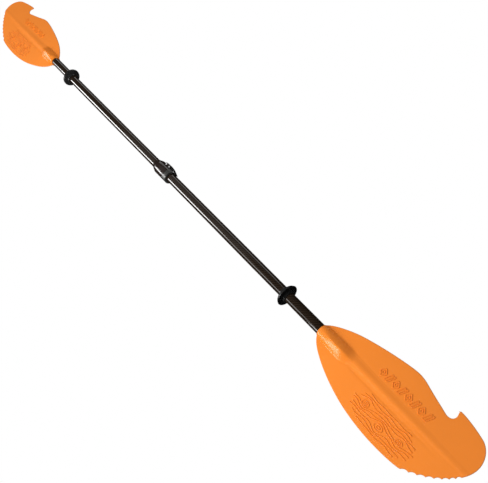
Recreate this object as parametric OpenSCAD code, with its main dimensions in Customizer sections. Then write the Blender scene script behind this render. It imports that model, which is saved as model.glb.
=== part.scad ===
// Take-apart kayak paddle for fishing: two moulded blades on carbon tubes, a lever-lock ferrule in
// the middle and two drip rings. The shaft runs along X with the middle of the paddle at x = 0.
// The working faces of the blades look up (+Z) and z = 0 is the surface that the drip rings lie on.

/* [Overall] */
// Length from blade tip to blade tip, ferrule closed
paddle_l = 2400; // [2300:10:2500]

/* [Shaft] */
// Outside diameter of the tubes where the hands and clips hold them
shaft_d = 28.5; // [28.2:0.1:28.8]
// Wall thickness of the tubes
tube_t = 1.5; // [1.4:0.1:1.6]
// Distance from the middle of the paddle to the outer end of each grip stretch
grip_end = 500; // [450:5:500]
// How far the tube goes into the blade
socket_l = 52; // [40:1:54]

/* [Blades] */
// Blade length from the mouth of its socket to its tip
blade_l = 452; // [430:1:470]
// Blade width across its widest points
blade_w = 184; // [170:1:195]
// Thickness of the blade next to its spine
blade_t = 4.4; // [3.5:0.1:5]
// Thickness of the blade at its tip
tip_t = 3; // [2.5:0.1:3.4]
// How far each side of the blade slopes down from the spine, in degrees
dihedral = 5; // [3:0.5:7]
// How far the blade tip curves up from the line of the shaft
tip_rise = 23; // [10:1:30]
// Radius of the round socket at the neck
neck_r = 17.2; // [16.6:0.1:18]
// Length of the round part of the neck
neck_l = 58; // [56:1:70]
// Length over which the neck runs down to the spine
neck_taper = 46; // [36:1:56]
// Width of the spine at the neck
spine_w = 20; // [14:1:24]
// Height of the spine over the blade's middle line at the neck
spine_h = 7; // [5:0.5:8]
// Number of teeth gaps along the lower tip edge
scallops = 8; // [4:1:10]
// Depth of each gap between two teeth
scallop_depth = 2.4; // [1:0.1:3]

/* [Drip rings] */
// Diameter over the rim of a drip ring
ring_d = 62; // [58:1:66]
// Distance from the middle of the paddle to each drip ring
ring_x = 613; // [605:1:640]
// Length of the hub of a drip ring
ring_l = 24; // [20:1:28]

/* [Ferrule] */
// Where the tapered nose of the ferrule begins, left of the middle
collar_start = 20; // [16:1:22]
// Where the ferrule ends and the right tube begins
ferrule_end = 60; // [58:1:62]
// Outside radius of the ferrule
ferrule_r = 21; // [20.5:0.1:22]
// Where the slanted seam between collar and cap crosses the shaft axis
seam_x = 30; // [28:1:31]
// How far the seam leans from square, in degrees
seam_tilt = 36; // [30:1:36]
// Depth of the flat under the lever, as a distance from the shaft axis
land_y = 17; // [16.8:0.1:17.2]
// How far the length can be drawn out
length_travel = 100; // [60:5:120]

/* [Lever] */
// Width of the lever
lever_w = 13; // [11:0.5:13]
// Position of the pivot pin along the shaft
pivot_x = 16.7; // [16:0.1:17]
// Distance of the pivot pin from the shaft axis
pivot_y = 20; // [19.9:0.1:20.1]
// Radius of the pivot pin
pivot_r = 2; // [1.8:0.1:2.2]
// Position of the catch pin along the shaft
catch_x = 33; // [32.5:0.1:33.5]
// Distance of the catch pin from the shaft axis
catch_y = 19.4; // [19.2:0.1:19.6]
// Radius of the catch pin
catch_r = 1.5; // [1.3:0.1:1.6]

/* [Hidden] */
$fn = 96;

carbon = "#2c2622";
orange = "#f0893c";
nylon = "#1d1c1c";
steel = "#c9cbce";
foam = "#dcd8cc";
rubber = "#121212";
brass = "#b08d4a";

eps = 0.01;
mouth_x = paddle_l / 2 - blade_l;
axis_z = ring_d / 2;
tube_r = shaft_d / 2;
bore_r = tube_r - tube_t;
// both ends of each tube are ground down by this much on the radius
grinding = 0.2;
end_r = tube_r - grinding;
tube_end = mouth_x + socket_l;
left_tube_stop = 10;
right_tube_stop = ferrule_end + 0.3;
plug_l = 20;
plug_space = 5;

// male ferrule: slides and turns in the liner, bonded in the right tube
slide_gap = 0.05;
slide_r = bore_r - 0.75;
liner_r = slide_r + slide_gap;
male_bore_r = slide_r - 2;
neck_groove_r = slide_r - 1;
bush_l = 12;
// how far the guide bush stays inside the liner when the length is drawn out
bush_keep = 8;
male_start = left_tube_stop - bush_keep - length_travel;
male_bond = 140;
bush_start = male_start - bush_l;
liner_start = bush_start - 50;
end_gap = 0.1;
end_plug_t = 4;
end_plug_l = 15;

// collar and cap
collar_bore_r = slide_r + 0.1;
spigot_r = 15.8;
spigot_end = 50;
seal_end = ferrule_end - 4;
seam_gap = 0.5;
big = 200;

// lever, its pins and its brake pad
cam_r = 4.5;
cam_offset = 1;
// angles round the pivot between which the head stands out past the cam
head_from = -222;
head_to = -278;
head_r = 5.5;
slot_r = 6.2;
slot_w = lever_w + 0.6;
ear_t = 3;
ear_w = slot_w + 2 * ear_t;
ear_end = 38;
ear_r = 5;
pin_head_t = 0.8;
pin_head_w = 0.8;
head_space = 0.4;
pin_gap = 0.03;
// slot in the underside of the lever that snaps over the catch pin
catch_slot_back = 2.4;
catch_slot_w = 4.3;
catch_slot_y = 21.2;
pad_lx = 11;
pad_wz = 9;
pad_gap = 0.15;
pad_face_t = 0.8;
pad_top = pivot_y - cam_offset - cam_r - 0.3;

// where the blade starts to curve up and how fast, where its spine ends and how high it is there
rise_from = 120;
rise_power = 2.6;
spine_end = 418;
spine_tip = 2.4;
outline_l = 452;
outline_w = 184;
curve_steps = 7;
neck_tip_r = 8;

// ---- curves ----

function bezier(p, t) = pow(1 - t, 3) * p[0] + 3 * t * pow(1 - t, 2) * p[1]
    + 3 * t * t * (1 - t) * p[2] + pow(t, 3) * p[3];

// points along a chain of bezier pieces, each without its last point
function along(pieces, steps) = [for (p = pieces, i = [0:steps - 1]) bezier(p, i / steps)];

// points on a circle from angle a to angle b
function arc(centre, r, a, b, steps) = [for (i = [0:steps])
    let (t = a + (b - a) * i / steps) centre + r * [cos(t), sin(t)]];

// height of the blade's middle line over the shaft axis
function rise(e) = e < rise_from ? 0
    : tip_rise * pow((e - rise_from) / (outline_l - rise_from), rise_power);

// Blade outline, drawn for a 452 x 184 blade: x from the socket mouth, y across.
// Upper edge from the neck over the shoulder and the hook, round the tip to the first tooth.
upper_edge = [
    [[0, 17.2], [12, 30], [45, 46], [75, 56]],
    [[75, 56], [110, 67], [185, 83], [225, 86]],
    [[225, 86], [242, 87.4], [256, 83.5], [270, 79]],
    [[270, 79], [290, 73], [312, 67.5], [332, 62]],
    [[332, 62], [341, 59.5], [352, 63], [351.4, 74]],
    [[351.4, 74], [351, 79], [347, 84], [349.4, 87.2]],
    [[349.4, 87.2], [351, 89], [380, 86.5], [418, 76]],
    [[418, 76], [438, 70], [452, 49], [452, 27]],
    [[452, 27], [452, 13], [447, 2], [441, -8.5]]
];
// Line through the tips of the teeth
tooth_line = [[441, -8.5], [428, -33], [390, -68], [344, -87.5]];
// Lower edge from the last tooth back to the neck
lower_edge = [
    [[344, -87.5], [332, -92], [295, -95.6], [262, -96]],
    [[262, -96], [225, -96.6], [185, -92.5], [152, -86]],
    [[152, -86], [95, -74], [18, -46], [0, -17.2]]
];

// each gap between two teeth is a shallow curve bitten in from the line of their tips
function tooth_points() = [for (i = [0:scallops - 1], u = [0:3])
    let (a = bezier(tooth_line, i / scallops), b = bezier(tooth_line, (i + 1) / scallops),
         d = (b - a) / norm(b - a), inward = [d[1], -d[0]], s = u / 4)
    a + (b - a) * s + inward * scallop_depth * 4 * s * (1 - s)];

function blade_points() = concat(along(upper_edge, curve_steps), tooth_points(),
    along(lower_edge, curve_steps), [[0, -17.2]]);

module blade_outline() {
    scale([blade_l / outline_l, blade_w / outline_w]) polygon(blade_points());
}

// ---- shapes that repeat ----

// a cylinder along +X from x = a to x = b
module rod(a, b, r) {
    translate([a, 0, 0]) rotate([0, 90, 0]) cylinder(r = r, h = b - a);
}

module pipe(a, b, r_out, r_in) {
    difference() {
        rod(a, b, r_out);
        rod(a - 1, b + 1, r_in);
    }
}

// lifts what is drawn about the shaft axis to its height over the floor
module at_axis() {
    translate([0, 0, axis_z]) children();
}

// lengthwise section of the blade: x along the blade, y its height
function section_e() = [0, 60, rise_from, 160, 200, 240, 280, 310, 340, 370, 400, 425, 455, 480];
function half_t(e) = (blade_t + (tip_t - blade_t) * e / outline_l) / 2;

module blade_section() {
    e = section_e();
    polygon(concat([for (x = e) [x, rise(x) + half_t(x)]],
                   [for (i = [len(e) - 1:-1:0]) [e[i], rise(e[i]) - half_t(e[i])]]));
}

// one side of the blade, sloping down from the spine; side is 1 for +Y and -1 for -Y
module blade_side(side) {
    lap = 1;
    rotate([-side * dihedral, 0, 0])
        translate([0, side > 0 ? blade_w : lap, 0])
            rotate([90, 0, 0])
                linear_extrude(blade_w + lap) blade_section();
}

// rib along the middle of the blade, from the neck to near the tip, as high and as wide as given
module spine() {
    e = [for (x = section_e()) if (x < spine_end) x];
    function rib(x) = spine_h + (spine_tip - spine_h) * x / spine_end;
    intersection() {
        translate([0, big / 2, 0]) rotate([90, 0, 0]) linear_extrude(big)
            polygon(concat([for (x = e) [x, rise(x) + rib(x)]],
                           [for (i = [len(e) - 1:-1:0]) [e[i], rise(e[i]) - rib(e[i])]]));
        translate([0, 0, -big / 2]) linear_extrude(big)
            polygon([[0, spine_w / 2], [spine_end, spine_tip], [spine_end, -spine_tip],
                     [0, -spine_w / 2]]);
    }
}

module blade() {
    difference() {
        union() {
            intersection() {
                union() {
                    blade_side(1);
                    blade_side(-1);
                }
                translate([0, 0, -big / 2]) linear_extrude(big) blade_outline();
            }
            rod(0, neck_l, neck_r);
            translate([neck_l, 0, 0]) rotate([0, 90, 0])
                cylinder(r1 = neck_r, r2 = neck_tip_r, h = neck_taper);
            spine();
        }
        rod(-1, socket_l, end_r);
    }
}

// a carbon tube with a grip stretch and two sanded ends; all x run outwards from the middle
module tube(inner, grip_start, outer) {
    difference() {
        union() {
            if (grip_start > inner) rod(inner, grip_start, end_r);
            rod(grip_start, grip_end, tube_r);
            rod(grip_end, outer, end_r);
        }
        rod(inner - 1, outer + 1, bore_r);
    }
}

// rubber ring: a hub with a cup that opens towards the blade, drawn with the blade at +X
module drip_ring() {
    bore = end_r + slide_gap;
    rim = ring_d / 2;
    half_l = ring_l / 2;
    web = 1.4;
    rotate([0, 90, 0]) rotate_extrude() union() {
        translate([bore, -half_l]) square([2.6, ring_l]);
        polygon([[bore, -half_l], [bore + 1.6, -half_l], [bore + 4.2, -half_l + 4],
                 [bore + 4.2, half_l - 9], [bore + 2.6, half_l - 6], [bore, half_l - 6]]);
        polygon([[bore + 2, -half_l + 3], [bore + 6.5, -5.6], [rim - 5, -3.2], [rim - 0.9, 2.4],
                 [rim - 0.9 - 2 * web, 3], [rim - 6.6, -0.4], [bore + 6, -2.4], [bore + 2, -1]]);
        translate([rim - 1.9, 2.6]) circle(r = 1.9, $fn = 32);
    }
}

// ---- left half ----

module left_blade() {
    color(orange) at_axis() mirror([1, 0, 0]) translate([mouth_x, 0, 0]) blade();
}

module left_shaft() {
    color(carbon) at_axis() mirror([1, 0, 0]) tube(-left_tube_stop, collar_start + 0.5, tube_end);
}

module left_blade_plug() {
    color(foam) at_axis() rod(-tube_end, -tube_end + plug_l, bore_r);
}

module left_shaft_plug() {
    color(foam) at_axis() rod(liner_start - plug_space - plug_l, liner_start - plug_space, bore_r);
}

module ferrule_liner() {
    color("gray") at_axis() pipe(liner_start, left_tube_stop, bore_r, liner_r);
}

// everything on the collar's side of the slanted seam
module before_seam() {
    translate([seam_x, 0, 0]) rotate([0, seam_tilt, 0])
        translate([-big, -big / 2, -big / 2]) cube([big, big, big]);
}

module after_seam() {
    translate([seam_x + seam_gap, 0, 0]) rotate([0, seam_tilt, 0])
        translate([0, -big / 2, -big / 2]) cube([big, big, big]);
}

// round body of the ferrule with its tapered nose, turned about the shaft
module ferrule_body() {
    nose = [[tube_r + 0.7, -collar_start], [tube_r + 2, -collar_start + 5],
            [ferrule_r - 2.2, -collar_start + 10.5], [ferrule_r, -collar_start + 19]];
    rotate([0, 90, 0]) rotate_extrude()
        polygon(concat([[1, -collar_start]], along([nose], 8),
                       [[ferrule_r, -collar_start + 19], [ferrule_r, ferrule_end - 1.2],
                        [ferrule_r - 1.2, ferrule_end], [1, ferrule_end]]));
}

// flat under the arm of the lever
module lever_land() {
    translate([pivot_x + 5, land_y, -big / 2]) cube([big, big, big]);
}

// the two ears that carry both pins
module ears() {
    for (side = [-1, 1])
        translate([0, 0, side > 0 ? slot_w / 2 : -ear_w / 2]) linear_extrude(ear_t) union() {
            translate([pivot_x, pivot_y]) circle(r = ear_r);
            translate([pivot_x - ear_r, 12.5]) square([2 * ear_r, pivot_y - 12.5]);
            polygon([[pivot_x, land_y + 0.05], [ear_end, land_y + 0.05], [ear_end, catch_y + 1.2],
                     [ear_end - 2, catch_y + 3], [pivot_x + 2, pivot_y + 4.5], [pivot_x, pivot_y]]);
        }
}

module ferrule_collar() {
    color(nylon) at_axis() difference() {
        union() {
            difference() {
                union() {
                    intersection() {
                        ferrule_body();
                        before_seam();
                    }
                    rod(0, spigot_end, spigot_r);
                }
                lever_land();
                translate([pivot_x, pivot_y, -slot_w / 2]) cylinder(r = slot_r, h = slot_w);
                translate([pivot_x, land_y, -slot_w / 2]) cube([big, big, slot_w]);
                for (side = [0, 1]) mirror([0, 0, side])
                    translate([pivot_x, pivot_y, ear_w / 2])
                        cylinder(r = pivot_r + pin_head_w + head_space, h = big);
            }
            ears();
        }
        rod(-collar_start - 1, left_tube_stop, end_r);
        rod(left_tube_stop - 1, spigot_end + 1, collar_bore_r);
        translate([pivot_x - pad_lx / 2 - pad_gap, 0, -pad_wz / 2 - pad_gap])
            cube([pad_lx + 2 * pad_gap, pivot_y, pad_wz + 2 * pad_gap]);
        translate([pivot_x, pivot_y, -big / 2]) cylinder(r = pivot_r + pin_gap, h = big);
        translate([catch_x, catch_y, -big / 2]) cylinder(r = catch_r + pin_gap, h = big);
    }
}

module ferrule_cap() {
    color("#2a2a2a") at_axis() difference() {
        intersection() {
            ferrule_body();
            after_seam();
        }
        lever_land();
        rod(-1, seal_end, spigot_r);
        rod(seal_end - 1, ferrule_end + 1, slide_r + 0.3);
    }
}

module wiper_seal() {
    color(rubber) at_axis() pipe(spigot_end, seal_end, spigot_r, liner_r);
}

// pin with a low head at each end
module headed_pin(x, y, r) {
    translate([x, y, 0]) {
        translate([0, 0, -ear_w / 2]) cylinder(r = r, h = ear_w);
        for (side = [0, 1]) mirror([0, 0, side])
            translate([0, 0, ear_w / 2]) cylinder(r1 = r + pin_head_w, r2 = r, h = pin_head_t);
    }
}

module lever_pin() {
    color(steel) at_axis() headed_pin(pivot_x, pivot_y, pivot_r);
}

module catch_pin() {
    color(steel) at_axis() headed_pin(catch_x, catch_y, catch_r);
}

// Lever seen along its pins, closed along the shaft: the cam lobe under the pivot, the round head
// over it, and the arm that runs on past the end of the ferrule.
module lever_outline() {
    under_y = land_y + 0.5;
    cam_from = asin((under_y - pivot_y + cam_offset) / cam_r);
    arm_top = [[[17.5, 25.4], [24, 26.6], [36, 26.6], [46, 24.2]],
               [[46, 24.2], [54, 22.2], [62, 19.6], [69, 17.4]],
               [[69, 17.4], [70.2, 16.8], [70, 15.6], [69, 15.4]]];
    polygon(concat(
        arc([pivot_x, pivot_y - cam_offset], cam_r, cam_from, head_from, 14),
        arc([pivot_x, pivot_y], head_r, head_from, head_to, 6),
        along(arm_top, 6),
        [[69, 15.4], [ferrule_end + 2.4, 15.6], [ferrule_end + 1, under_y]]));
}

module lock_lever() {
    color(nylon) at_axis() difference() {
        translate([0, 0, -lever_w / 2]) linear_extrude(lever_w) lever_outline();
        translate([pivot_x, pivot_y, -big / 2]) cylinder(r = pivot_r + pin_gap, h = big);
        translate([catch_x - catch_slot_back, 0, -lever_w])
            cube([catch_slot_w, catch_slot_y, 2 * lever_w]);
    }
}

// shoe that the cam presses in through the collar's window
module pressure_pad() {
    color(brass) at_axis() difference() {
        translate([pivot_x - pad_lx / 2, 0, -pad_wz / 2]) cube([pad_lx, pad_top, pad_wz]);
        rod(-1, spigot_end, collar_bore_r + pad_face_t);
    }
}

module pad_facing() {
    color(rubber) at_axis() intersection() {
        translate([pivot_x - pad_lx / 2, 0, -pad_wz / 2]) cube([pad_lx, pad_top, pad_wz]);
        pipe(0, spigot_end, collar_bore_r + pad_face_t, collar_bore_r);
    }
}

module left_drip_ring() {
    color(rubber) at_axis() mirror([1, 0, 0]) translate([ring_x, 0, 0]) drip_ring();
}

// ---- right half ----

module guide_bush() {
    color(brass) at_axis()
        pipe(bush_start + end_gap, male_start - end_gap, slide_r + 0.02, neck_groove_r + 0.03);
}

module male_ferrule() {
    color(steel) at_axis() difference() {
        union() {
            rod(bush_start, 0, neck_groove_r);
            rod(male_start, right_tube_stop, slide_r);
            rod(right_tube_stop, male_bond, bore_r);
        }
        rod(bush_start - 1, male_bond + 1, male_bore_r);
    }
}

// closes the inner end of the male ferrule and holds the guide bush on its neck
module ferrule_end_plug() {
    color("gray") at_axis() {
        rod(bush_start - end_plug_t, bush_start, slide_r - 0.2);
        rod(bush_start - eps, bush_start + end_plug_l, male_bore_r);
    }
}

module right_shaft() {
    color(carbon) at_axis() tube(right_tube_stop, right_tube_stop, tube_end);
}

module right_shaft_plug() {
    color(foam) at_axis() rod(male_bond + plug_space, male_bond + plug_space + plug_l, bore_r);
}

module right_blade_plug() {
    color(foam) at_axis() rod(tube_end - plug_l, tube_end, bore_r);
}

module right_blade() {
    color(orange) at_axis() translate([mouth_x, 0, 0]) blade();
}

module right_drip_ring() {
    color(rubber) at_axis() translate([ring_x, 0, 0]) drip_ring();
}

left_blade();
left_shaft();
left_blade_plug();
left_shaft_plug();
ferrule_liner();
ferrule_collar();
ferrule_cap();
wiper_seal();
lock_lever();
lever_pin();
catch_pin();
pressure_pad();
pad_facing();
left_drip_ring();
guide_bush();
male_ferrule();
ferrule_end_plug();
right_shaft();
right_shaft_plug();
right_blade_plug();
right_blade();
right_drip_ring();
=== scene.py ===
"""Take-apart kayak paddle: the looks of its blades, tubes, ferrule, lever and drip rings."""
from math import ceil, cos, pi, radians, sin, tan

import bmesh
import bpy
import numpy as np
from bpy.props import FloatProperty, FloatVectorProperty, PointerProperty
from mathutils import Matrix, Vector


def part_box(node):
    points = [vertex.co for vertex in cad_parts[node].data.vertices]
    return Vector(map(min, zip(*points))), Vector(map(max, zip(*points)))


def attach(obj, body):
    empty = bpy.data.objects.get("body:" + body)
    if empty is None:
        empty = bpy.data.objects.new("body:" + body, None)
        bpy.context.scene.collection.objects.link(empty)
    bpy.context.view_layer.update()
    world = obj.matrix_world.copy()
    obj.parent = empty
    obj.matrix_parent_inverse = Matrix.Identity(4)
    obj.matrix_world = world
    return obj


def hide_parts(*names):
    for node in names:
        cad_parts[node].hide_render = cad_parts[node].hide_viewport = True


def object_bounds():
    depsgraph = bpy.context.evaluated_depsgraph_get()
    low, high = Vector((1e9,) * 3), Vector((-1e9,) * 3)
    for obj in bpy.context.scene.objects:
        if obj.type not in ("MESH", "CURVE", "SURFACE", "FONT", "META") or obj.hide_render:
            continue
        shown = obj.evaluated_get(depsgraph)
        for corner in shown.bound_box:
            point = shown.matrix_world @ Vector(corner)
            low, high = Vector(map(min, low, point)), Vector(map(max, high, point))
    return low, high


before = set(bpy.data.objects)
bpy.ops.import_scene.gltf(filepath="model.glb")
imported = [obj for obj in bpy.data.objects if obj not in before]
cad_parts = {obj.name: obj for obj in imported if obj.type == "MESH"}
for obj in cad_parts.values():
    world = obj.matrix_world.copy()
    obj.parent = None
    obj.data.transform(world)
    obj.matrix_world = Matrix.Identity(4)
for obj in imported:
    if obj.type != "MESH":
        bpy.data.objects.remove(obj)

bl_info = {
    "name": "Kayak Paddle Builder",
    "version": (1, 0, 0),
    "blender": (4, 5, 0),
    "location": "3D View > Sidebar > Paddle",
    "description": "Builds a take-apart kayak paddle around its packed frame",
    "category": "Object",
}

MM = 0.001
CAD_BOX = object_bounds()
TUBE_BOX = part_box("right_shaft")
AXIS_Z = (TUBE_BOX[0].z + TUBE_BOX[1].z) / 2
TUBE_R = (TUBE_BOX[1].z - TUBE_BOX[0].z) / 2
MOUTH_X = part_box("right_blade")[0].x
RING_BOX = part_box("right_drip_ring")
RING_X = (RING_BOX[0].x + RING_BOX[1].x) / 2

# Blade outline in millimetres, as Bezier pieces: along the blade from the socket mouth, and
# across it.
UPPER_EDGE = (
    ((0, 17.2), (12, 30), (45, 46), (75, 56)),
    ((75, 56), (110, 67), (185, 83), (225, 86)),
    ((225, 86), (242, 87.4), (256, 83.5), (270, 79)),
    ((270, 79), (290, 73), (312, 67.5), (332, 62)),
    ((332, 62), (341, 59.5), (352, 63), (351.4, 74)),
    ((351.4, 74), (351, 79), (347, 84), (349.4, 87.2)),
    ((349.4, 87.2), (351, 89), (380, 86.5), (418, 76)),
    ((418, 76), (438, 70), (452, 49), (452, 27)),
    ((452, 27), (452, 13), (447, 2), (441, -8.5)),
)
TOOTH_LINE = ((441, -8.5), (428, -33), (390, -68), (344, -87.5))
LOWER_EDGE = (
    ((344, -87.5), (332, -92), (295, -95.6), (262, -96)),
    ((262, -96), (225, -96.6), (185, -92.5), (152, -86)),
    ((152, -86), (95, -74), (18, -46), (0, -17.2)),
)
TEETH = 8
TOOTH_GAP = 3.0
TOOTH_POINTS = 6
RIM_STEP, HOOK_STEP = 3.0, 1.6
HOOK_PIECES = (4, 5)
RIM_INSETS = (0.10, 0.20, 0.34, 0.50, 0.66)

# Blade shape in metres, along it from the socket mouth.
BLADE_LENGTH = 0.452
CURVE_START, CURVE_RUN = 0.120, 0.332
SPINE_START, SPINE_RUN = 0.104, 0.314
HOOK_SIDE_SPINE = 1.5
CREST_SOFTNESS = 0.004
MOUTH_LIP = 0.0008
NECK_FLARE = 0.0033
CHANNEL_DEPTH, CHANNEL_Y, CHANNEL_WIDTH = 0.0008, -0.0145, 0.0040
SOCKET_RADIUS, SOCKET_DEPTH = 0.01415, 0.052
PATTERN_SINK = 0.0002
FAR_AWAY = 1e9

# Moulded pattern in millimetres; a stone is its place, its push on the water and its width.
BAND_FIGURES = 8
WATER_LINES = 9
STONES = ((196, -45, 9.0, 15), (252, -62, 11.0, 19), (306, -52, 8.0, 15))
PATTERN_STEP = 2.2

# Drip ring at the right end in millimetres: along the shaft from its middle, and the radius. It
# has a hub, a cup that opens towards the blade, and a thick lip.
RING_BORE = 14.12
RING_OUTLINE = (
    (-12, RING_BORE), (-12, RING_BORE + 2.6), (-10, RING_BORE + 2.9), (-8.6, RING_BORE + 4.4),
    (-5.8, 20.8), (-4.6, 24.0), (-2.6, 27.4), (0.6, 29.4), (2.6, 30.6), (4.3, 30.4), (4.5, 28.9),
    (3.4, 27.6), (1.4, 26.8), (-0.6, 24.8), (-2.2, 21.6), (-2.0, RING_BORE + 4.4),
    (2.0, RING_BORE + 3.6), (6.0, RING_BORE + 3.4), (7.2, RING_BORE + 2.9), (9.0, RING_BORE + 2.9),
    (10.0, RING_BORE + 3.6), (11.4, RING_BORE + 3.4), (12, RING_BORE + 2.4), (12, RING_BORE),
)
RING_ROUNDING = 0.9

# Domed heads of the pins: each step turns the outline further over.
DOME_STEPS = 6
DOME_TURN = pi / 14
DOME_HEIGHT = HEAD_OVERHANG = 0.0008

# Plain values of the finishes.
WHITE = (1.0, 1.0, 1.0, 1.0)
MID_GREY = (0.5, 0.5, 0.5, 1.0)
PLATE_ROUGHNESS, NECK_ROUGHNESS = 0.62, 0.31

# Camera: the way back from what it looks at, its turn about that line, and its lens.
CAMERA_BACK = (0.5606, 0, 0.828)
CAMERA_ROLL = radians(44.88)
CAMERA_AIM = (0.4084, 0.0194, AXIS_Z)
CAMERA_DISTANCE = 1.736
SENSOR_WIDTH = 36
FOCAL_LENGTH, PICTURE_WIDTH = 648, 488

# Lamps: name, place, target, size, radiance, beam, and what is lit: matt surfaces, all gloss, or
# the gloss of everything but the blades.
WIDE, NARROW = radians(180), radians(36)
LAMPS = (
    ("overhead", (0.0, 0.0, 1.3), (0, 0, 0), (0.8, 0.8), 4.2, WIDE, "matt"),
    ("key", (0.0, -1.4, 1.4), (0, 0, 0), (1.2, 1.2), 9.8, WIDE, "matt"),
    ("strip", (-2.55, -2.0, 1.02), (-2.55, 0, 1.02), (2.4, 0.95), 20.0, WIDE, "tubes"),
    ("strip_end", (-0.85, -2.0, 1.02), (-0.85, 0, 1.02), (1.0, 0.95), 3.6, WIDE, "tubes"),
    ("far_panel", (-2.8, 2.0, 0.75), (-2.8, 0, 0.75), (4.4, 0.9), 1.5, WIDE, "tubes"),
    ("top_card", (-2.0, 0.0, 2.5), (0, 0, 0), (4.0, 1.4), 0.28, WIDE, "gloss"),
    ("near_neck", (0.04, -2.0, 0.66), (0.86, 0, 0.03), (0.5, 1.0), 15.0, NARROW, "gloss"),
    ("far_neck", (-4.3, -2.0, 0.72), (-0.86, 0, 0.03), (1.0, 1.1), 6.0, NARROW, "gloss"),
)


# ---- sizes and colours that a user would change ----

class PaddleSizes(bpy.types.PropertyGroup):
    """Sizes of the visible pieces, in metres."""
    blade_thickness: FloatProperty(name="Blade thickness", default=0.0044, unit="LENGTH",
        description="Thickness of the blade next to its spine")
    tip_thickness: FloatProperty(name="Tip thickness", default=0.003, unit="LENGTH",
        description="Thickness of the blade at its tip")
    dihedral: FloatProperty(name="Dihedral", default=radians(5), subtype="ANGLE",
        description="How far each side of the blade slopes down from the spine")
    tip_rise: FloatProperty(name="Tip rise", default=0.023, unit="LENGTH",
        description="How far the tip curves up from the line of the shaft")
    neck_radius: FloatProperty(name="Neck radius", default=0.0172, unit="LENGTH",
        description="Radius of the round socket at the neck")
    neck_fillet: FloatProperty(name="Neck fillet", default=0.0028, unit="LENGTH",
        description="Softness of the corner between the neck and the blade")
    rim_rounding: FloatProperty(name="Rim rounding", default=0.0017, unit="LENGTH",
        description="Width over which the rim of the blade is rounded")
    relief_height: FloatProperty(name="Relief height", default=0.0015, unit="LENGTH",
        description="How far the moulded pattern stands out of the blade")
    relief_width: FloatProperty(name="Relief width", default=0.0030, unit="LENGTH",
        description="Width of each line of the moulded pattern")
    edge_rounding: FloatProperty(name="Edge rounding", default=0.0006, unit="LENGTH",
        description="Rounding of the moulded edges of the ferrule and lever")
    grid: FloatProperty(name="Grid", default=0.0036, unit="LENGTH",
        description="Spacing of the cuts that let the blade curve")


class PaddleColours(bpy.types.PropertyGroup):
    """Colours of the finishes."""
    blade: FloatVectorProperty(name="Blade", subtype="COLOR", size=3,
        default=(0.82, 0.220, 0.018), description="Orange of the moulded blades")
    # darker rim colour: painted shade along the rounded edge of the blades
    blade_rim_shade: FloatVectorProperty(name="Blade rim shade", subtype="COLOR", size=3,
        default=(0.50, 0.22, 0.08), description="Painted shade along the rim of the blades")
    tube_dark: FloatVectorProperty(name="Tube dark", subtype="COLOR", size=3,
        default=(0.006, 0.0034, 0.0020), description="Darker strands of the tube's cloth")
    tube_light: FloatVectorProperty(name="Tube light", subtype="COLOR", size=3,
        default=(0.026, 0.0165, 0.0105), description="Lighter strands of the tube's cloth")
    ferrule: FloatVectorProperty(name="Ferrule", subtype="COLOR", size=3,
        default=(0.014, 0.0085, 0.007), description="Collar of the ferrule")
    cap: FloatVectorProperty(name="Cap", subtype="COLOR", size=3,
        default=(0.028, 0.028, 0.026), description="Cap of the ferrule")
    lever: FloatVectorProperty(name="Lever", subtype="COLOR", size=3,
        default=(0.008, 0.008, 0.008), description="Lock lever")
    rubber: FloatVectorProperty(name="Rubber", subtype="COLOR", size=3,
        default=(0.010, 0.010, 0.010), description="Drip rings and seals")


# ---- small helpers ----

def clear_selection():
    if bpy.context.object and bpy.context.object.mode != "OBJECT":
        bpy.ops.object.mode_set(mode="OBJECT")
    bpy.ops.object.select_all(action="DESELECT")


def added(name):
    """Name the primitive that was just added."""
    obj = bpy.context.object
    obj.name = obj.data.name = name
    return obj


def only(obj):
    """Select this object and nothing else."""
    clear_selection()
    obj.select_set(True)
    bpy.context.view_layer.objects.active = obj


def edit(obj, mode="FACE"):
    only(obj)
    bpy.ops.object.mode_set(mode="EDIT")
    bpy.ops.mesh.select_mode(type=mode)
    bpy.ops.mesh.select_all(action="SELECT")


def object_mode():
    bpy.ops.object.mode_set(mode="OBJECT")


def apply_modifier(obj, kind, **settings):
    only(obj)
    modifier = obj.modifiers.new(kind.title(), kind)
    for key, value in settings.items():
        setattr(modifier, key, value)
    bpy.ops.object.modifier_apply(modifier=modifier.name)


def apply_place(obj):
    only(obj)
    bpy.ops.object.transform_apply(location=True, rotation=True, scale=True)


def smooth(obj, angle):
    only(obj)
    bpy.ops.object.shade_smooth_by_angle(angle=angle)


def coordinates(obj):
    co = np.empty(len(obj.data.vertices) * 3)
    obj.data.vertices.foreach_get("co", co)
    return co.reshape(-1, 3)


def set_coordinates(obj, co):
    obj.data.vertices.foreach_set("co", np.ascontiguousarray(co).ravel())
    obj.data.update()


def finish_piece(obj, body, material, slot, *nodes):
    obj.data.materials.clear()
    obj.data.materials.append(material)
    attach(obj, body)
    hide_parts(*nodes)


def mirrored(obj, name):
    """A copy of a right-hand piece for the left end."""
    only(obj)
    bpy.ops.object.duplicate()
    left = added(name)
    left.scale.x = -1
    apply_place(left)
    edit(left)
    bpy.ops.mesh.normals_make_consistent(inside=False)
    object_mode()
    return left


def bezier(p, t):
    """Points at t on the cubic curve with the four given control points."""
    p, t = np.array(p, float), np.asarray(t, float)[:, None]
    r = 1 - t
    return r ** 3 * p[0] + 3 * t * r ** 2 * p[1] + 3 * t * t * r * p[2] + t ** 3 * p[3]


def ease(x, a, b):
    """0 before a, 1 after b, smooth between."""
    t = np.clip((x - a) / (b - a), 0, 1)
    return t * t * (3 - 2 * t)


def larger(a, b, k):
    """Larger of a and b with the corner between them filled over k."""
    k = np.maximum(k, 1e-9)
    h = np.maximum(k - np.abs(a - b), 0) / k
    return np.maximum(a, b) + h * h * k / 4


# ---- materials ----

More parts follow.
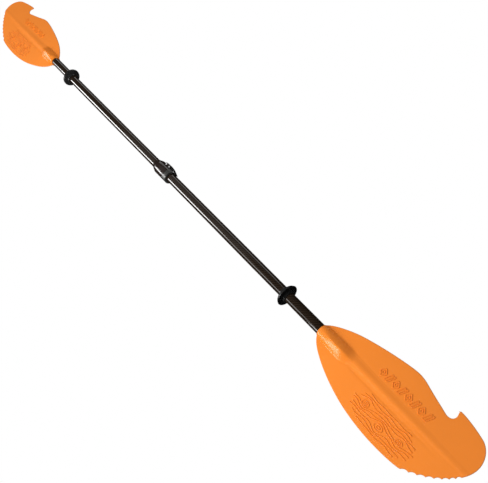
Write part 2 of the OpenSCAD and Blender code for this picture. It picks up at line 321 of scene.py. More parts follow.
def feed(tree, socket, value):
    """Link another socket to this one, or set its plain value."""
    if hasattr(value, "links"):
        tree.links.new(value, socket)
    else:
        socket.default_value = value


def node(tree, kind, inputs=None, **settings):
    made = tree.nodes.new(kind)
    for key, value in settings.items():
        setattr(made, key, value)
    for key, value in (inputs or {}).items():
        feed(tree, made.inputs[key], value)
    return made


def math(tree, operation, a, b=0.0, clamp=False):
    made = tree.nodes.new("ShaderNodeMath")
    made.operation, made.use_clamp = operation, clamp
    feed(tree, made.inputs[0], a)
    feed(tree, made.inputs[1], b)
    return made.outputs[0]


def around_zero(tree, value, amount):
    """A value of 0 to 1 turned into one that sways round 0."""
    return math(tree, "MULTIPLY", math(tree, "SUBTRACT", value, 0.5), amount)


def mixed(tree, factor, a, b):
    made = tree.nodes.new("ShaderNodeMix")
    made.data_type = "RGBA"
    # the colour sockets are the seventh and eighth, and the third output
    for key, value in ((0, factor), (6, a), (7, b)):
        feed(tree, made.inputs[key], value)
    return made.outputs[2]


def noise(tree, where, scale, detail, roughness=0.5):
    return node(tree, "ShaderNodeTexNoise", inputs={
        "Vector": where, "Scale": scale, "Detail": detail, "Roughness": roughness}).outputs["Fac"]


def rgba(colour):
    return (*colour, 1.0)


def new_group(name, inputs, outputs):
    """A node group with named sockets: inputs are (name, kind, default)."""
    tree = bpy.data.node_groups.new(name, "ShaderNodeTree")
    for label, kind, default in inputs:
        socket = tree.interface.new_socket(
            name=label, in_out="INPUT", socket_type="NodeSocket" + kind)
        if default is not None:
            socket.default_value = default
    for label, kind in outputs:
        tree.interface.new_socket(name=label, in_out="OUTPUT", socket_type="NodeSocket" + kind)
    start, end = tree.nodes.new("NodeGroupInput"), tree.nodes.new("NodeGroupOutput")
    return tree, start.outputs, end.inputs


def moulded_grain_group():
    """Cloudy colour, uneven gloss and fine pebble of a moulded part."""
    tree, given, out = new_group("Moulded grain", (
        ("Vector", "Vector", None), ("Colour", "Color", MID_GREY), ("Cloudiness", "Float", 0.08),
        ("Roughness", "Float", 0.4), ("Pebble scale", "Float", 900.0),
    ), (("Colour", "Color"), ("Roughness", "Float"), ("Height", "Float")))
    cloud = noise(tree, given["Vector"], 9.0, 5.0, 0.6)
    fleck = noise(tree, given["Vector"], 140.0, 3.0)
    pebble = noise(tree, given["Vector"], given["Pebble scale"], 2.0)
    shade = math(tree, "ADD", around_zero(tree, cloud, 2.0), around_zero(tree, fleck, 0.5))
    gain = math(tree, "ADD", math(tree, "MULTIPLY", shade, given["Cloudiness"]), 1.0)
    scaled = node(tree, "ShaderNodeVectorMath", operation="SCALE",
                  inputs={0: given["Colour"], "Scale": gain})
    uneven = math(tree, "ADD", given["Roughness"], around_zero(tree, fleck, 0.14), clamp=True)
    tree.links.new(scaled.outputs[0], out["Colour"])
    tree.links.new(uneven, out["Roughness"])
    tree.links.new(pebble, out["Height"])
    return tree


def rim_shade_group():
    """Colour turned to a darker painted shade near the rim, broken into nicks by noise."""
    tree, given, out = new_group("Rim shade", (
        ("Vector", "Vector", None), ("Colour", "Color", MID_GREY),
        ("Worn colour", "Color", MID_GREY), ("Distance", "Float", 1.0), ("Reach", "Float", 0.002),
    ), (("Colour", "Color"), ("Mask", "Float")))
    nick = noise(tree, given["Vector"], 260.0, 4.0)
    far = math(tree, "DIVIDE", given["Distance"], given["Reach"])
    near = math(tree, "SUBTRACT", 1.0, far, clamp=True)
    mask = math(tree, "MULTIPLY", near, math(tree, "ADD", nick, 0.25), clamp=True)
    tree.links.new(mixed(tree, mask, given["Colour"], given["Worn colour"]), out["Colour"])
    tree.links.new(mask, out["Mask"])
    return tree


def woven_cloth_group():
    """Twill cloth wrapped round a tube that runs along X, with painted shade in the hollows between
    its strands.
    """
    tree, given, out = new_group("Woven cloth", (
        ("Vector", "Vector", None), ("Dark", "Color", MID_GREY), ("Light", "Color", MID_GREY),
        ("Strand", "Float", 0.002), ("Radius", "Float", 0.014),
    ), (("Colour", "Color"), ("Height", "Float"), ("Cover", "Float")))
    split = node(tree, "ShaderNodeSeparateXYZ", inputs={0: given["Vector"]}).outputs
    turn = math(tree, "ARCTAN2", split["Z"], split["Y"])
    u = math(tree, "DIVIDE", math(tree, "MULTIPLY", turn, given["Radius"]), given["Strand"])
    v = math(tree, "DIVIDE", split["X"], given["Strand"])
    # over two strands and under two, one strand further on in each row
    step = math(tree, "ADD", math(tree, "FLOOR", u), math(tree, "FLOOR", v))
    place = math(tree, "FRACT", math(tree, "DIVIDE", step, 4.0))
    over = math(tree, "LESS_THAN", place, 0.49)
    crown_u, crown_v = (
        math(tree, "SINE", math(tree, "MULTIPLY", math(tree, "FRACT", way), pi)) for way in (u, v))
    height = math(tree, "ADD", math(tree, "MULTIPLY", over, crown_u),
                  math(tree, "MULTIPLY", math(tree, "SUBTRACT", 1.0, over), crown_v))
    streak = noise(tree, given["Vector"], 55.0, 6.0)
    tone = math(tree, "ADD", math(tree, "MULTIPLY", over, 0.55),
                math(tree, "MULTIPLY", streak, 0.5), clamp=True)
    # the colour is darkened in the hollows between the strands' crowns: painted shade
    painted_hollow_shade = math(tree, "ADD", math(tree, "MULTIPLY", height, 0.5), 0.5)
    shade = math(tree, "MULTIPLY", tone, painted_hollow_shade)
    tree.links.new(mixed(tree, shade, given["Dark"], given["Light"]), out["Colour"])
    tree.links.new(height, out["Height"])
    tree.links.new(over, out["Cover"])
    return tree


def turned_lines_group():
    """Fine lines round a turned part that lies along X."""
    tree, given, out = new_group("Turned lines", (
        ("Vector", "Vector", None), ("Roughness", "Float", 0.3), ("Lines", "Float", 2500.0),
    ), (("Roughness", "Float"), ("Height", "Float")))
    stretched = node(tree, "ShaderNodeVectorMath", operation="MULTIPLY",
                     inputs={0: given["Vector"], 1: (1.0, 0.03, 0.03)}).outputs[0]
    lines = noise(tree, stretched, given["Lines"], 2.0)
    uneven = math(tree, "ADD", given["Roughness"], around_zero(tree, lines, 0.25), clamp=True)
    tree.links.new(uneven, out["Roughness"])
    tree.links.new(lines, out["Height"])
    return tree


GROUP_MAKERS = {"grain": moulded_grain_group, "edge_shading": rim_shade_group,
                "cloth": woven_cloth_group, "lines": turned_lines_group}
GROUPS = {}


def effect(tree, key, **inputs):
    """Place a shared effect in a material, built the first time it is asked for."""
    if key not in GROUPS:
        GROUPS[key] = GROUP_MAKERS[key]()
    made = tree.nodes.new("ShaderNodeGroup")
    made.node_tree = GROUPS[key]
    for name, value in inputs.items():
        feed(tree, made.inputs[name.replace("_", " ")], value)
    return made.outputs


def blank_material(name, **settings):
    """A material with its shader's plain values set, its tree, shader and object coordinates."""
    made = bpy.data.materials.new(name)
    made.use_nodes = True
    tree = made.node_tree
    shader = tree.nodes["Principled BSDF"]
    for label, value in settings.items():
        shader.inputs[label.replace("_", " ")].default_value = value
    where = tree.nodes.new("ShaderNodeTexCoord").outputs["Object"]
    return made, tree, shader, where


def bump(tree, shader, height, distance, strength):
    made = node(tree, "ShaderNodeBump",
                inputs={"Height": height, "Distance": distance, "Strength": strength})
    tree.links.new(made.outputs["Normal"], shader.inputs["Normal"])


def moulded_material(name, colour, roughness, cloudiness=0.08, pebble=900.0, strength=0.2):
    made, tree, shader, where = blank_material(name)
    grain = effect(tree, "grain", Vector=where, Colour=rgba(colour), Cloudiness=cloudiness,
                   Roughness=roughness, Pebble_scale=pebble)
    tree.links.new(grain["Colour"], shader.inputs["Base Color"])
    tree.links.new(grain["Roughness"], shader.inputs["Roughness"])
    bump(tree, shader, grain["Height"], 0.00012, strength)
    return made


def blade_material(colours):
    """Matt orange nylon with a polished neck and painted shade along its rim, where it is rougher.
    """
    made, tree, shader, where = blank_material("Orange nylon", IOR=1.5)
    neck = node(tree, "ShaderNodeAttribute", attribute_name="neck").outputs["Fac"]
    rim = node(tree, "ShaderNodeAttribute", attribute_name="rim").outputs["Fac"]
    roughness = math(tree, "SUBTRACT", PLATE_ROUGHNESS,
                     math(tree, "MULTIPLY", neck, PLATE_ROUGHNESS - NECK_ROUGHNESS))
    grain = effect(tree, "grain", Vector=where, Colour=rgba(colours.blade), Cloudiness=0.05,
                   Roughness=roughness, Pebble_scale=1100.0)
    # painted shade darkens the colour along the rim, broken into nicks by noise
    edge_shading = effect(tree, "edge_shading", Vector=where, Colour=grain["Colour"],
                  Worn_colour=rgba(colours.blade_rim_shade), Distance=rim, Reach=0.0014)
    tree.links.new(edge_shading["Colour"], shader.inputs["Base Color"])
    rougher = math(tree, "ADD", grain["Roughness"],
                   math(tree, "MULTIPLY", edge_shading["Mask"], 0.2), clamp=True)
    tree.links.new(rougher, shader.inputs["Roughness"])
    # the polish takes most of the pebble off the neck
    left = math(tree, "SUBTRACT", 1.0, math(tree, "MULTIPLY", neck, 0.85))
    bump(tree, shader, math(tree, "MULTIPLY", grain["Height"], left), 0.00010, 0.2)
    return made


def cloth_material(colours):
    """Clear-coated woven carbon, dark brown."""
    made, tree, shader, where = blank_material(
        "Woven carbon", IOR=1.5, Coat_Weight=1.0, Coat_Roughness=0.07, Specular_IOR_Level=0.0)
    centred = node(tree, "ShaderNodeMapping", inputs={"Vector": where, "Location": (0, 0, -AXIS_Z)})
    cloth = effect(tree, "cloth", Vector=centred.outputs[0], Dark=rgba(colours.tube_dark),
                   Light=rgba(colours.tube_light), Strand=0.0022, Radius=TUBE_R)
    tree.links.new(cloth["Colour"], shader.inputs["Base Color"])
    rougher = math(tree, "ADD", math(tree, "MULTIPLY", cloth["Cover"], 0.12), 0.36)
    tree.links.new(rougher, shader.inputs["Roughness"])
    bump(tree, shader, cloth["Height"], 0.00008, 0.35)
    return made


def metal_material(name, colour, roughness, lines=2500.0, metallic=1.0):
    made, tree, shader, where = blank_material(name, Base_Color=rgba(colour), Metallic=metallic)
    turned_lines = effect(tree, "lines", Vector=where, Roughness=roughness, Lines=lines)
    tree.links.new(turned_lines["Roughness"], shader.inputs["Roughness"])
    bump(tree, shader, turned_lines["Height"], 0.00003, 0.25)
    return made


def foam_material():
    """Closed-cell foam of the sealing plugs."""
    made, tree, shader, where = blank_material("Cell foam", Roughness=0.9)
    cells = node(tree, "ShaderNodeTexVoronoi", inputs={"Vector": where, "Scale": 700.0})
    depth = cells.outputs["Distance"]
    shade = mixed(tree, depth, rgba((0.74, 0.71, 0.62)), rgba((0.55, 0.52, 0.44)))
    tree.links.new(shade, shader.inputs["Base Color"])
    bump(tree, shader, depth, 0.0004, 0.6)
    return made


# ---- blades ----

def blade_rim():
    """Points round the blade in millimetres, from the mouth's upper corner to its lower one."""
    def sampled(piece, step):
        line = bezier(piece, np.linspace(0, 1, 40))
        length = np.linalg.norm(np.diff(line, axis=0), axis=1).sum()
        count = max(2, ceil(length / step))
        return bezier(piece, np.arange(count) / count)
    points = [sampled(piece, HOOK_STEP if i in HOOK_PIECES else RIM_STEP)
              for i, piece in enumerate(UPPER_EDGE)]
    tips = bezier(TOOTH_LINE, np.linspace(0, 1, TEETH + 1))
    for a, b in zip(tips, tips[1:]):
        along = (b - a) / np.linalg.norm(b - a)
        inward = np.array((along[1], -along[0]))
        s = np.arange(TOOTH_POINTS)[:, None] / TOOTH_POINTS
        points.append(a + (b - a) * s + inward * TOOTH_GAP * 4 * s * (1 - s))
    points += [sampled(piece, RIM_STEP) for piece in LOWER_EDGE]
    return np.vstack(points + [[LOWER_EDGE[-1][-1]]])


def distance_to_rim(points, rim):
    """Distance of each (x, y) to the chain of rim points."""
    a, b = rim[:-1], rim[1:]
    ab = b - a
    length2 = (ab ** 2).sum(1)
    best = np.full(len(points), FAR_AWAY)
    for i in range(len(a)):
        t = np.clip((points - a[i]) @ ab[i] / length2[i], 0, 1)
        best = np.minimum(best, np.linalg.norm(points - a[i] - t[:, None] * ab[i], axis=1))
    return best


def blade_faces(e, y, d, sizes):
    """Heights of the upper and lower face over the shaft axis.

    e is the way along the blade, y the way across it and d the distance from its rim.
    """
    width = np.abs(y)
    middle = sizes.tip_rise * (np.clip(e - CURVE_START, 0, None) / CURVE_RUN) ** 2.6
    drop = tan(sizes.dihedral) * np.sqrt(width ** 2 + CREST_SOFTNESS ** 2) * ease(e, -0.02, 0.05)
    thinning = sizes.tip_thickness - sizes.blade_thickness
    thick = sizes.blade_thickness + thinning * e / BLADE_LENGTH
    round_off = np.sqrt(1 - (1 - np.clip(d / sizes.rim_rounding, 0, 1)) ** 2)
    plate = thick / 2 * round_off
    # ridge: the round neck, then a spine that fades out before the tip
    neck = sizes.neck_radius - MOUTH_LIP * (1 - ease(e, -0.0012, 0.0016))
    fade = np.clip((e - SPINE_START) / SPINE_RUN, 0, 1.2)
    spine_w = (0.0120 - 0.0060 * fade) * np.where(y > 0, HOOK_SIDE_SPINE, 1.0)
    spine_h = 0.0047 - 0.0030 * fade
    flare = neck + NECK_FLARE * ease(e, 0.008, 0.045)
    ridge_w = flare + (spine_w - flare) * ease(e, 0.078, 0.114)
    ridge_h = neck + (spine_h - neck) * ease(e, 0.068, 0.113)
    u = width / ridge_w
    inside = np.clip(1 - u, 0, 1)
    # cross-section: round at the mouth, then like a roof, then a soft crest
    round_neck = np.sqrt(1 - (1 - inside) ** 2)
    roof = (1 - (1 - inside) ** 1.25) ** 0.85
    crest = np.cos((1 - inside) * pi / 2) ** 1.2
    shape = round_neck + (roof - round_neck) * ease(e, 0.010, 0.045)
    shape = shape + (crest - shape) * ease(e, 0.092, 0.120)
    ridge = ridge_h * shape - 3 * np.clip(u - 1, 0, None) * ridge_w
    fillet = sizes.neck_fillet * round_off * (1 - 0.45 * ease(e, 0.08, 0.13))
    # shallow channel beside the spine
    channel = CHANNEL_DEPTH * np.exp(-((y - CHANNEL_Y) / CHANNEL_WIDTH) ** 2)
    channel = channel * ease(e, 0.104, 0.125) * (1 - ease(e, 0.28, 0.40))
    top = middle + larger(plate - drop, ridge, fillet) - channel * round_off
    bottom = middle - larger(plate + drop, ridge, fillet)
    return top, bottom


def cuts_across(step):
    """Places of the cuts across the blade: close over the neck, wider towards the rim."""
    near = [0, 2.2, 4.4, 6.5, 8.5, 10.4, 12.2, 13.8, 15.1, 16.1, 16.8, 17.6, 18.6, 20.0, 22.0, 24.5]
    places = (*near, *np.arange(27.5, 96, step / MM))
    return [side * MM * value for side in (1, -1) for value in places if side > 0 or value]


def cuts_along(step):
    """Places of the cuts along the blade: close at the mouth, then even."""
    return [MM * value for value in (0.8, 1.8, 3.5, *np.arange(6, BLADE_LENGTH / MM, step / MM))]


def diamond_band():
    """Upper band: diamonds in diamonds, with a pair of slanted bars between each two."""
    strokes = []
    for i in range(BAND_FIGURES):
        x, y = 176 + 19.6 * i, 33.0 - 0.4 * i
        if i % 2:
            for middle in (x - 3.2, x + 3.2):
                bar = [(middle - 6.2, y - 10), (middle - 2.2, y - 10),
                       (middle + 6.2, y + 10), (middle + 2.2, y + 10)]
                strokes.append((rounded_loop(bar, 1.2), True))
        else:
            for scale in (1.0, 0.42):
                wide, high = 9.5 * scale, 10.5 * scale
                diamond = [(x - wide, y), (x, y - high), (x + wide, y), (x, y + high)]
                strokes.append((rounded_loop(diamond, 2.0 * scale), True))
    return strokes


def flowing_water():
    """Lower field: long lines of flowing water that part round three stones."""
    strokes = []
    for i in range(WATER_LINES):
        start = -24 - 7.1 * i
        reach = 94 * np.sqrt(1 - ((i - 4) / 5.4) ** 2)
        x = np.arange(254 - reach + 4 * (i % 3), 254 + reach - 5 * (i % 2), PATTERN_STEP)
        y = start + 0.9 * np.sin(x / 7.0 + 2.1 * i)
        for cx, cy, push, wide in STONES:
            side = 1 if start > cy else -1
            y = y + side * push * np.exp(-((x - cx) / wide) ** 2 - abs(start - cy) / 16)
        strokes.append((np.stack((x, y), 1), False))
    t = np.linspace(0, 2 * pi, 28)[:-1]
    for cx, cy, push, wide in STONES:
        for k in (0.62, 0.26):
            ring = np.stack((cx + wide * k * np.cos(t), cy + push * k * np.sin(t)), 1)
            strokes.append((ring, True))
    return strokes


def rounded_loop(corners, radius, steps=(0, 0.25, 0.5, 0.75, 1)):
    """Closed line through the corners, with each corner rounded as far as its sides have room."""
    corners = [np.array(c, float) for c in corners]
    points = []
    for i, c in enumerate(corners):
        to_before, to_after = corners[i - 1] - c, corners[(i + 1) % len(corners)] - c
        sides = np.linalg.norm(to_before), np.linalg.norm(to_after)
        reach = min(radius, 0.45 * min(sides))
        a, b = c + to_before / sides[0] * reach, c + to_after / sides[1] * reach
        points += [tuple((1 - s) ** 2 * a + 2 * s * (1 - s) * c + s * s * b) for s in steps]
    return points


def moulded_pattern(sizes):
    """Raised lines that follow the upper face of the blade, each with a rounded top."""
    clear_selection()
    bpy.ops.curve.primitive_nurbs_path_add()
    lines = added("moulded_pattern")
    lines.data.splines.clear()
    lines.data.dimensions = "3D"
    for points, closed in diamond_band() + flowing_water():
        points = resampled(np.array(points), PATTERN_STEP, closed)
        spline = lines.data.splines.new("POLY")
        spline.points.add(len(points) - 1)
        for target, (x, y) in zip(spline.points, points):
            target.co = (x * MM, y * MM, 0, 1)
        spline.use_cyclic_u = closed
    half_width = sizes.relief_width / 2
    lines.data.bevel_depth = half_width
    lines.data.bevel_resolution = 2
    lines.data.use_fill_caps = True
    only(lines)
    bpy.ops.object.convert(target="MESH")
    lines = bpy.context.object
    co = coordinates(lines)
    top, _ = blade_faces(co[:, 0], co[:, 1], np.full(len(co), FAR_AWAY), sizes)
    # the lines start a little way under the face, so that the two cut cleanly
    height = sizes.relief_height + PATTERN_SINK
    co[:, 2] = top + co[:, 2] / half_width * height - PATTERN_SINK
    set_coordinates(lines, co)
    return lines


def resampled(points, step, closed):
    """The same line with points at even distances."""
    if closed:
        points = np.vstack((points, points[:1]))
    lengths = np.linalg.norm(np.diff(points, axis=0), axis=1)
    run = np.concatenate(([0], np.cumsum(lengths)))
    count = max(2, ceil(run[-1] / step))
    at = np.linspace(0, run[-1], count + 1)
    if closed:
        at = at[:-1]
    return np.stack((np.interp(at, run, points[:, 0]), np.interp(at, run, points[:, 1])), 1)


def two_faced_plate(sizes, rim):
    """A closed plate within the rim, cut into a grid and shaped above and below."""
    clear_selection()
    bpy.ops.mesh.primitive_circle_add(vertices=len(rim), radius=1, fill_type="NGON")
    blade = added("right_blade_skin")
    for vertex, (x, y) in zip(blade.data.vertices, rim[::-1]):
        vertex.co = (x, y, 0)
    edit(blade)
    for width in RIM_INSETS:
        bpy.ops.mesh.inset(thickness=width * MM, depth=0, use_even_offset=True)
    for axis, places in (((1, 0, 0), cuts_along(sizes.grid)), ((0, 1, 0), cuts_across(sizes.grid))):
        for place in places:
            bpy.ops.mesh.select_all(action="SELECT")
            bpy.ops.mesh.bisect(plane_co=Vector(axis) * place, plane_no=axis)
    # a second, turned-over layer is the lower face
    bpy.ops.mesh.select_all(action="SELECT")
    bpy.ops.mesh.duplicate()
    bpy.ops.mesh.flip_normals()
    object_mode()
    co = coordinates(blade)
    half = len(co) // 2
    d = distance_to_rim(co[:half, :2], rim)
    co[:half, 2], co[half:, 2] = blade_faces(co[:half, 0], co[:half, 1], d, sizes)
    set_coordinates(blade, co)
    edit(blade, "EDGE")
    bpy.ops.mesh.remove_doubles(threshold=0.00002)
    bpy.ops.mesh.select_all(action="DESELECT")
    bpy.ops.mesh.select_non_manifold()
    bpy.ops.mesh.edge_face_add()
    bpy.ops.mesh.select_all(action="SELECT")
    bpy.ops.mesh.normals_make_consistent(inside=False)
    object_mode()
    return blade


def write_attribute(obj, name, values):
    attribute = obj.data.attributes.new(name, "FLOAT", "POINT")
    attribute.data.foreach_set("value", values.astype(np.float32))


def build_blade(sizes):
    """One blade with its mouth at x = 0 and its axis on z = 0."""
    rim = blade_rim() * MM
    blade = two_faced_plate(sizes, rim)
    # socket for the tube, cut from outside the mouth
    outside = 0.01
    clear_selection()
    bpy.ops.mesh.primitive_cylinder_add(
        vertices=128, radius=SOCKET_RADIUS, depth=SOCKET_DEPTH + 2 * outside,
        location=(SOCKET_DEPTH / 2 - outside, 0, 0), rotation=(0, pi / 2, 0))
    cutter = added("socket_cutter")
    apply_modifier(blade, "BOOLEAN", operation="DIFFERENCE", object=cutter, solver="EXACT")
    bpy.data.objects.remove(cutter)
    pattern = moulded_pattern(sizes)
    clear_selection()
    pattern.select_set(True)
    blade.select_set(True)
    bpy.context.view_layer.objects.active = blade
    bpy.ops.object.join()
    edit(blade)
    bpy.ops.mesh.normals_make_consistent(inside=False)
    object_mode()
    # distance to the rim for the painted rim shade, and how far a place is on the neck for its
    # polish
    co = coordinates(blade)
    write_attribute(blade, "rim", distance_to_rim(co[:, :2], rim))
    across, along = np.abs(co[:, 1]), co[:, 0]
    write_attribute(blade, "neck", np.clip((0.026 - across) / 0.004, 0, 1)
                    * np.clip((0.112 - along) / 0.016, 0, 1))
    smooth(blade, radians(40))
    return blade


class PADDLE_OT_blades(bpy.types.Operator):
    """Model one blade with its hook, teeth and pattern, and mirror it for the other end"""
    bl_idname = "paddle.blades"
    bl_label = "Blades"

    def execute(self, context):
        sizes, colours = context.scene.paddle_sizes, context.scene.paddle_colours
        finish = blade_material(colours)
        right = build_blade(sizes)
        set_coordinates(right, coordinates(right) + (MOUTH_X, 0, AXIS_Z))
        left = mirrored(right, "left_blade_skin")
        finish_piece(right, "right_half", finish, "blade_plastic", "right_blade")
        finish_piece(left, "left_half", finish, "blade_plastic", "left_blade")
        return {"FINISHED"}


# ---- tubes and inner parts ----

def paint_nodes(material, *names):
    """Give CAD nodes a finish."""
    for name in names:
        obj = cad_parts[name]
        obj.data.materials.clear()
        obj.data.materials.append(material)


class PADDLE_OT_tubes(bpy.types.Operator):
    """Finish the two carbon tubes in woven cloth under a clear coat"""
    bl_idname = "paddle.tubes"
    bl_label = "Tubes"

    def execute(self, context):
        finish = cloth_material(context.scene.paddle_colours)
        paint_nodes(finish, "left_shaft", "right_shaft")
        return {"FINISHED"}


class PADDLE_OT_inner_parts(bpy.types.Operator):
    """Finish the plugs, liner, bush, inner ferrule, seal and brake pad that sit inside the tubes"""
    bl_idname = "paddle.inner_parts"
    bl_label = "Inner Parts"

    def execute(self, context):
        colours = context.scene.paddle_colours
        paint_nodes(foam_material(), "left_blade_plug", "left_shaft_plug", "right_shaft_plug",
                    "right_blade_plug")
        paint_nodes(moulded_material("Grey liner nylon", (0.22, 0.22, 0.23), 0.45),
                    "ferrule_liner", "guide_bush", "ferrule_end_plug")
        paint_nodes(moulded_material("Seal rubber", colours.rubber, 0.6, pebble=1600.0),
                    "wiper_seal", "pad_facing")
        paint_nodes(metal_material("Anodised tube", (0.62, 0.63, 0.64), 0.34), "male_ferrule")
        paint_nodes(metal_material("Machined brass", (0.62, 0.43, 0.16), 0.3), "pressure_pad")
        return {"FINISHED"}


# ---- drip rings ----

def turned(name, outline, centre_x):
    """A closed outline of (x, radius) points in millimetres, spun round the shaft axis."""
    clear_selection()
    bpy.ops.mesh.primitive_circle_add(vertices=len(outline), radius=1, fill_type="NOTHING")
    obj = added(name)
    for vertex, (x, r) in zip(obj.data.vertices, outline):
        vertex.co = (centre_x + x * MM, 0, AXIS_Z + r * MM)
    edit(obj, "EDGE")
    bpy.ops.mesh.spin(steps=96, angle=2 * pi, center=(centre_x, 0, AXIS_Z), axis=(1, 0, 0))
    bpy.ops.mesh.select_all(action="SELECT")
    bpy.ops.mesh.remove_doubles(threshold=0.00001)
    bpy.ops.mesh.normals_make_consistent(inside=False)
    object_mode()
    return obj


class PADDLE_OT_drip_rings(bpy.types.Operator):
    """Turn a rubber drip ring with its cup and lip, and mirror it for the other end"""
    bl_idname = "paddle.drip_rings"
    bl_label = "Drip Rings"

    def execute(self, context):
        finish = moulded_material("Ring rubber", context.scene.paddle_colours.rubber, 0.34,
                                  cloudiness=0.2, pebble=1500.0, strength=0.12)
        profile = rounded_loop(RING_OUTLINE, RING_ROUNDING, (0, 0.33, 0.67, 1))
        right = turned("right_ring_skin", profile, RING_X)
        smooth(right, radians(50))
        left = mirrored(right, "left_ring_skin")
        finish_piece(right, "right_ring", finish, "ring_rubber", "right_drip_ring")
        finish_piece(left, "left_ring", finish, "ring_rubber", "left_drip_ring")
        return {"FINISHED"}


# ---- ferrule and lever ----

def rounded_copy(node_name, name, width):
    """A copy of a CAD node with its loose triangles joined and its sharp edges rounded."""
    only(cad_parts[node_name])
    bpy.ops.object.duplicate()
    obj = added(name)
    for key in list(obj.keys()):
        del obj[key]
    obj.parent = None
    edit(obj, "VERT")
    bpy.ops.mesh.remove_doubles(threshold=0.000002)
    bpy.ops.mesh.dissolve_limited(angle_limit=radians(1))
    bpy.ops.mesh.normals_make_consistent(inside=False)
    object_mode()
    apply_modifier(obj, "BEVEL", width=width, segments=3, limit_method="ANGLE",
                   angle_limit=radians(28), use_clamp_overlap=True, harden_normals=False)
    smooth(obj, radians(38))
    return obj


class PADDLE_OT_ferrule(bpy.types.Operator):
    """Round the moulded edges of the ferrule's collar and cap and finish them"""
    bl_idname = "paddle.ferrule"
    bl_label = "Ferrule"

    def execute(self, context):
        sizes, colours = context.scene.paddle_sizes, context.scene.paddle_colours
        collar = rounded_copy("ferrule_collar", "ferrule_collar_skin", sizes.edge_rounding)
        cap = rounded_copy("ferrule_cap", "ferrule_cap_skin", sizes.edge_rounding)
        finish_piece(collar, "left_half", moulded_material(
            "Collar nylon", colours.ferrule, 0.2, cloudiness=0.25, pebble=700.0, strength=0.1),
            "ferrule_plastic", "ferrule_collar")
        finish_piece(cap, "left_half", moulded_material(
            "Cap nylon", colours.cap, 0.42, cloudiness=0.2, pebble=700.0, strength=0.2),
            "cap_plastic", "ferrule_cap")
        return {"FINISHED"}


class PADDLE_OT_lever(bpy.types.Operator):
    """Round the edges of the lock lever and dome the heads of its pins"""
    bl_idname = "paddle.lever"
    bl_label = "Lever"

    def execute(self, context):
        sizes, colours = context.scene.paddle_sizes, context.scene.paddle_colours
        lever = rounded_copy("lock_lever", "lock_lever_skin", sizes.edge_rounding)
        finish_piece(lever, "lever", moulded_material(
            "Lever nylon", colours.lever, 0.38, cloudiness=0.2, pebble=800.0, strength=0.15),
            "lever_plastic", "lock_lever")
        steel = metal_material("Satin steel", (0.92, 0.92, 0.93), 0.34, 1200.0, 0.5)
        for node_name in ("lever_pin", "catch_pin"):
            pin = self.domed_pin(node_name)
            finish_piece(pin, "left_half", steel, "pin_steel", node_name)
        return {"FINISHED"}

    def domed_pin(self, node_name):
        """A pin with a low dome at each end, inside the size of its CAD node."""
        low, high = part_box(node_name)
        centre = (low + high) / 2
        head, top = (high.x - low.x) / 2, (high.z - low.z) / 2
        shank, under = head - HEAD_OVERHANG, top - DOME_HEIGHT
        clear_selection()
        bpy.ops.mesh.primitive_cylinder_add(
            vertices=48, radius=shank, depth=2 * under, location=centre)
        pin = added(node_name + "_skin")
        apply_place(pin)
        for end in (1, -1):
            edit(pin)
            bpy.ops.mesh.select_all(action="DESELECT")
            work = bmesh.from_edit_mesh(pin.data)
            for face in work.faces:
                beyond = (face.calc_center_median().z - centre.z) * end > 0
                face.select = face.normal.z * end > 0.9 and beyond
            bmesh.update_edit_mesh(pin.data)
            place = Vector((centre.x, centre.y, centre.z + end * under))
            bpy.ops.mesh.extrude_region_move()
            bpy.ops.transform.resize(value=(head / shank,) * 3, center_override=place)
            for i in range(1, DOME_STEPS + 1):
                now, last = i * DOME_TURN, (i - 1) * DOME_TURN
                scale = cos(now) / cos(last)
                lift = (top - under) * (sin(now) - sin(last)) / sin(DOME_STEPS * DOME_TURN)
                bpy.ops.mesh.extrude_region_move(
                    TRANSFORM_OT_translate={"value": (0, 0, end * lift)})
                bpy.ops.transform.resize(value=(scale, scale, 1), center_override=place)
            object_mode()
        smooth(pin, radians(45))
        return pin


# ---- stage ----

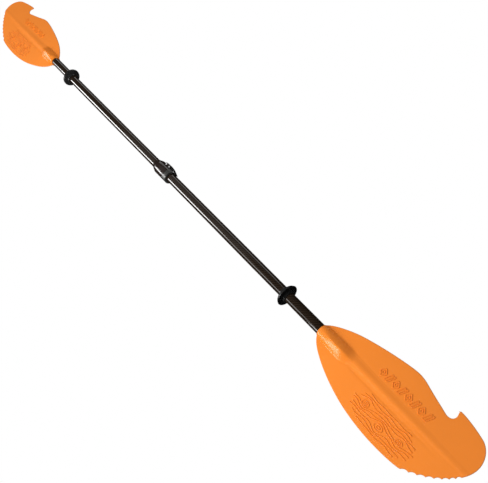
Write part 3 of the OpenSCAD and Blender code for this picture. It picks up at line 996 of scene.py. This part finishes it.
class PADDLE_OT_stage(bpy.types.Operator):
    """Set up the camera, the pale floor and the soft studio lights"""
    bl_idname = "paddle.stage"
    bl_label = "Stage"

    def execute(self, context):
        self.camera(context.scene)
        self.floor()
        self.lamps()
        self.surroundings(context.scene)
        context.scene.view_settings.view_transform = "Standard"
        return {"FINISHED"}

    def camera(self, scene):
        bpy.ops.object.camera_add()
        eye = bpy.context.object
        eye.name = "camera"
        back = Vector(CAMERA_BACK).normalized()
        across = Vector((back.z, 0, -back.x))
        side = Vector((0, 1, 0))
        right = across * cos(CAMERA_ROLL) + side * sin(CAMERA_ROLL)
        up = side * cos(CAMERA_ROLL) - across * sin(CAMERA_ROLL)
        place = Vector(CAMERA_AIM) + back * CAMERA_DISTANCE
        turn = Matrix((right, up, back)).transposed().to_4x4()
        eye.matrix_world = Matrix.Translation(place) @ turn
        eye.data.sensor_width = SENSOR_WIDTH
        eye.data.lens = SENSOR_WIDTH * FOCAL_LENGTH / PICTURE_WIDTH
        eye.data.clip_end = 100
        scene.camera = eye

    def floor(self):
        clear_selection()
        bpy.ops.mesh.primitive_plane_add(size=60, location=(0, 0, CAD_BOX[0].z))
        floor = added("floor")
        # a blade that is turned on edge reaches below the floor, and stays lit and in view there
        floor.visible_camera = floor.visible_shadow = False
        made = bpy.data.materials.new("Pale floor")
        made.use_nodes = True
        tree = made.node_tree
        tree.nodes.clear()
        ray = tree.nodes.new("ShaderNodeLightPath").outputs
        paper = node(tree, "ShaderNodeBsdfDiffuse", inputs={"Color": rgba((0.9, 0.9, 0.9))})
        # nearly black to gloss, so that the dark tubes don't turn grey underneath
        black = node(tree, "ShaderNodeEmission", inputs={"Color": WHITE, "Strength": 0.01})
        seen = node(tree, "ShaderNodeMixShader",
                    inputs={0: ray["Is Glossy Ray"], 1: paper.outputs[0], 2: black.outputs[0]})
        end = tree.nodes.new("ShaderNodeOutputMaterial")
        tree.links.new(seen.outputs[0], end.inputs["Surface"])
        floor.data.materials.append(made)

    def lamps(self):
        """Two soft lamps for matt light, and panels that only gloss shows."""
        # the bright strips that draw the lines on the tubes would wash out the flat of the blades
        off_the_blades = bpy.data.collections.new("Off the blades")
        for blade in ("right_blade_skin", "left_blade_skin"):
            off_the_blades.objects.link(bpy.data.objects[blade])
        for member in off_the_blades.collection_objects:
            member.light_linking.link_state = "EXCLUDE"
        for name, place, target, (width, height), radiance, beam, task in LAMPS:
            bpy.ops.object.light_add(type="AREA", location=place)
            lamp = bpy.context.object
            lamp.name = name
            lamp.data.shape = "RECTANGLE"
            lamp.data.size, lamp.data.size_y = width, height
            lamp.data.spread = beam
            # a narrow beam is brighter along its middle for the same energy
            gathered = 1 - (beam / 2) / tan(beam / 2) if beam < pi else 1
            lamp.data.energy = radiance * pi * width * height * gathered
            lamp.rotation_mode = "QUATERNION"
            lamp.rotation_quaternion = (Vector(target) - Vector(place)).to_track_quat("-Z", "Y")
            lamp.visible_camera = False
            lamp.visible_diffuse, lamp.visible_glossy = task == "matt", task != "matt"
            if task == "tubes":
                lamp.light_linking.receiver_collection = off_the_blades

    def surroundings(self, scene):
        """White to the camera, soft light to matt surfaces and nearly black to gloss."""
        world = bpy.data.worlds.new("Studio")
        scene.world = world
        world.use_nodes = True
        tree = world.node_tree
        tree.nodes.clear()
        ray = tree.nodes.new("ShaderNodeLightPath").outputs
        white, soft, dark = (
            node(tree, "ShaderNodeBackground", inputs={"Color": WHITE, "Strength": strength})
            for strength in (1.0, 0.41, 0.02))
        lit = node(tree, "ShaderNodeMixShader",
                   inputs={0: ray["Is Glossy Ray"], 1: soft.outputs[0], 2: dark.outputs[0]})
        seen = node(tree, "ShaderNodeMixShader",
                    inputs={0: ray["Is Camera Ray"], 1: lit.outputs[0], 2: white.outputs[0]})
        end = tree.nodes.new("ShaderNodeOutputWorld")
        tree.links.new(seen.outputs[0], end.inputs["Surface"])


# ---- panel and start ----

STEPS = (PADDLE_OT_blades, PADDLE_OT_tubes, PADDLE_OT_drip_rings, PADDLE_OT_ferrule,
         PADDLE_OT_lever, PADDLE_OT_inner_parts, PADDLE_OT_stage)


class PADDLE_PT_panel(bpy.types.Panel):
    """Sizes, colours and building steps of the paddle"""
    bl_label = "Kayak Paddle"
    bl_space_type = "VIEW_3D"
    bl_region_type = "UI"
    bl_category = "Paddle"

    def draw(self, context):
        for group in (context.scene.paddle_sizes, context.scene.paddle_colours):
            column = self.layout.column()
            for name in group.__annotations__:
                column.prop(group, name)
        for step in STEPS:
            self.layout.operator(step.bl_idname)


CLASSES = (PaddleSizes, PaddleColours, *STEPS, PADDLE_PT_panel)


def register():
    for item in CLASSES:
        bpy.utils.register_class(item)
    bpy.types.Scene.paddle_sizes = PointerProperty(type=PaddleSizes)
    bpy.types.Scene.paddle_colours = PointerProperty(type=PaddleColours)


def unregister():
    del bpy.types.Scene.paddle_sizes
    del bpy.types.Scene.paddle_colours
    for item in reversed(CLASSES):
        bpy.utils.unregister_class(item)


def main():
    register()
    clear_selection()
    bpy.ops.paddle.blades()
    bpy.ops.paddle.tubes()
    bpy.ops.paddle.drip_rings()
    bpy.ops.paddle.ferrule()
    bpy.ops.paddle.lever()
    bpy.ops.paddle.inner_parts()
    bpy.ops.paddle.stage()


if __name__ == "__main__":
    main()
